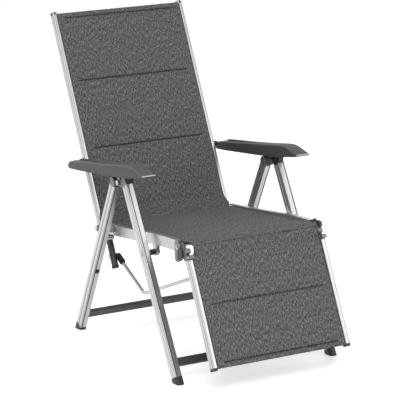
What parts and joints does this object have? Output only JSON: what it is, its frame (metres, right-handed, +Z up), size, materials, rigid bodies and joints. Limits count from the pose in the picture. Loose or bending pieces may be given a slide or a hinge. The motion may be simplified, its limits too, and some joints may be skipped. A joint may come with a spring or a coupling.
{
  "type": "reclining garden armchair",
  "caption": "Folding-leg reclining garden armchair: padded back, seat and linked leg rest on aluminium rails, hinged A-legs, sliding armrests.",
  "frame": {"origin": "on the floor, under the middle of the chair's length and width", "axes": "+Z up, the sitter faces -Y, +X is the sitter's left"},
  "size_m": [0.66, 1.197, 1.1421],
  "materials": {
    "silver_aluminium": "satin anodised silver",
    "anthracite_aluminium": "anthracite powder coat",
    "grey_casting": "grey painted casting",
    "steel": "zinc-plated",
    "anthracite_plastic": "satin moulded",
    "black_plastic": "matt moulded",
    "padded_textile": "grey padded outdoor textile"
  },
  "bodies": {
    "front_legs": {"front_leg_right": "silver_aluminium", "front_leg_left": "silver_aluminium", "front_crossbar": "anthracite_aluminium", "front_foot_right": "black_plastic", "front_foot_left": "black_plastic", "front_apex_fitting_right": "grey_casting", "front_apex_fitting_left": "grey_casting", "apex_hinge_pins": "steel", "rack_catch_pins": "steel", "seat_pivot_bolts": "steel", "seat_pivot_spacers": "black_plastic"},
    "rear_legs": {"rear_leg_right": "silver_aluminium", "rear_leg_left": "silver_aluminium", "rear_crossbar": "anthracite_aluminium", "rear_foot_right": "black_plastic", "rear_foot_left": "black_plastic", "rear_apex_fitting_right": "grey_casting", "rear_apex_fitting_left": "grey_casting", "seat_rest_studs": "steel", "leg_bumpers": "black_plastic"},
    "seat": {"seat_rail_right": "silver_aluminium", "seat_rail_left": "silver_aluminium", "seat_cross_tubes": "silver_aluminium", "seat_pivot_brackets": "silver_aluminium", "back_hinge_bracket_right": "grey_casting", "back_hinge_bracket_left": "grey_casting", "back_hinge_bolts": "steel", "legrest_hinge_bracket_right": "grey_casting", "legrest_hinge_bracket_left": "grey_casting", "legrest_hinge_bolts": "steel", "seat_pad": "padded_textile"},
    "back": {"back_rail_right": "silver_aluminium", "back_rail_left": "silver_aluminium", "back_top_caps": "black_plastic", "back_cross_tubes": "silver_aluminium", "linkage_lever_right": "anthracite_aluminium", "linkage_lever_left": "anthracite_aluminium", "lever_end_caps": "black_plastic", "lever_spacers": "black_plastic", "linkage_pins": "steel", "armrest_pivot_bolts": "steel", "back_pad": "padded_textile"},
    "legrest": {"legrest_rail_right": "silver_aluminium", "legrest_rail_left": "silver_aluminium", "legrest_end_caps": "black_plastic", "legrest_cross_tube": "silver_aluminium", "legrest_hinge_fittings": "grey_casting", "legrest_lugs": "silver_aluminium", "legrest_pad": "padded_textile"},
    "rod_right": {"push_rod_right": "silver_aluminium", "rod_clip_right": "black_plastic"},
    "rod_left": {"push_rod_left": "silver_aluminium", "rod_clip_left": "black_plastic"},
    "arm_bush_right": {"armrest_bush_right": "black_plastic"},
    "arm_bush_left": {"armrest_bush_left": "black_plastic"},
    "arm_right": {"armrest_right": "anthracite_plastic", "armrest_rack_right": "anthracite_plastic"},
    "arm_left": {"armrest_left": "anthracite_plastic", "armrest_rack_left": "anthracite_plastic"}
  },
  "joints": [
    {"name": "leg_fold", "type": "hinge", "parent": "front_legs", "child": "rear_legs", "pos_m": [0, -0.02796, 0.622], "axis": [-1, 0, 0], "range_deg": [0, 55]},
    {"name": "seat_lift", "type": "hinge", "parent": "front_legs", "child": "seat", "pos_m": [0, -0.18923, 0.404], "axis": [1, 0, 0], "range_deg": [0, 8]},
    {"name": "recline", "type": "hinge", "parent": "seat", "child": "back", "pos_m": [0, 0.24404, 0.397], "axis": [-1, 0, 0], "range_deg": [0, 42]},
    {"name": "legrest_swing", "type": "hinge", "parent": "seat", "child": "legrest", "pos_m": [0, -0.37596, 0.462], "axis": [-1, 0, 0], "range_deg": [0, 42]},
    {"name": "rod_swing_right", "type": "hinge", "parent": "back", "child": "rod_right", "pos_m": [0, 0.19856, 0.29904], "axis": [-1, 0, 0], "range_deg": [-42, 0]},
    {"name": "rod_swing_left", "type": "hinge", "parent": "back", "child": "rod_left", "pos_m": [0, 0.19856, 0.29904], "axis": [-1, 0, 0], "range_deg": [-42, 0]},
    {"name": "arm_tilt_right", "type": "hinge", "parent": "back", "child": "arm_bush_right", "pos_m": [0, 0.35098, 0.62739], "axis": [-1, 0, 0], "range_deg": [-30, 0]},
    {"name": "arm_tilt_left", "type": "hinge", "parent": "back", "child": "arm_bush_left", "pos_m": [0, 0.35098, 0.62739], "axis": [-1, 0, 0], "range_deg": [-30, 0]},
    {"name": "arm_lift_right", "type": "hinge", "parent": "arm_bush_right", "child": "arm_right", "pos_m": [0, 0.35098, 0.62739], "axis": [-1, 0, 0], "range_deg": [0, 95]},
    {"name": "arm_lift_left", "type": "hinge", "parent": "arm_bush_left", "child": "arm_left", "pos_m": [0, 0.35098, 0.62739], "axis": [-1, 0, 0], "range_deg": [0, 95]}
  ],
  "couplings": [
    {"joint": "legrest_swing", "follows": "recline", "ratio": 1},
    {"joint": "rod_swing_right", "follows": "recline", "ratio": -1},
    {"joint": "rod_swing_left", "follows": "recline", "ratio": -1},
    {"joint": "arm_tilt_right", "follows": "recline", "ratio": -0.693},
    {"joint": "arm_tilt_left", "follows": "recline", "ratio": -0.693},
    {"joint": "arm_lift_left", "follows": "arm_lift_right", "ratio": 1}
  ]
}
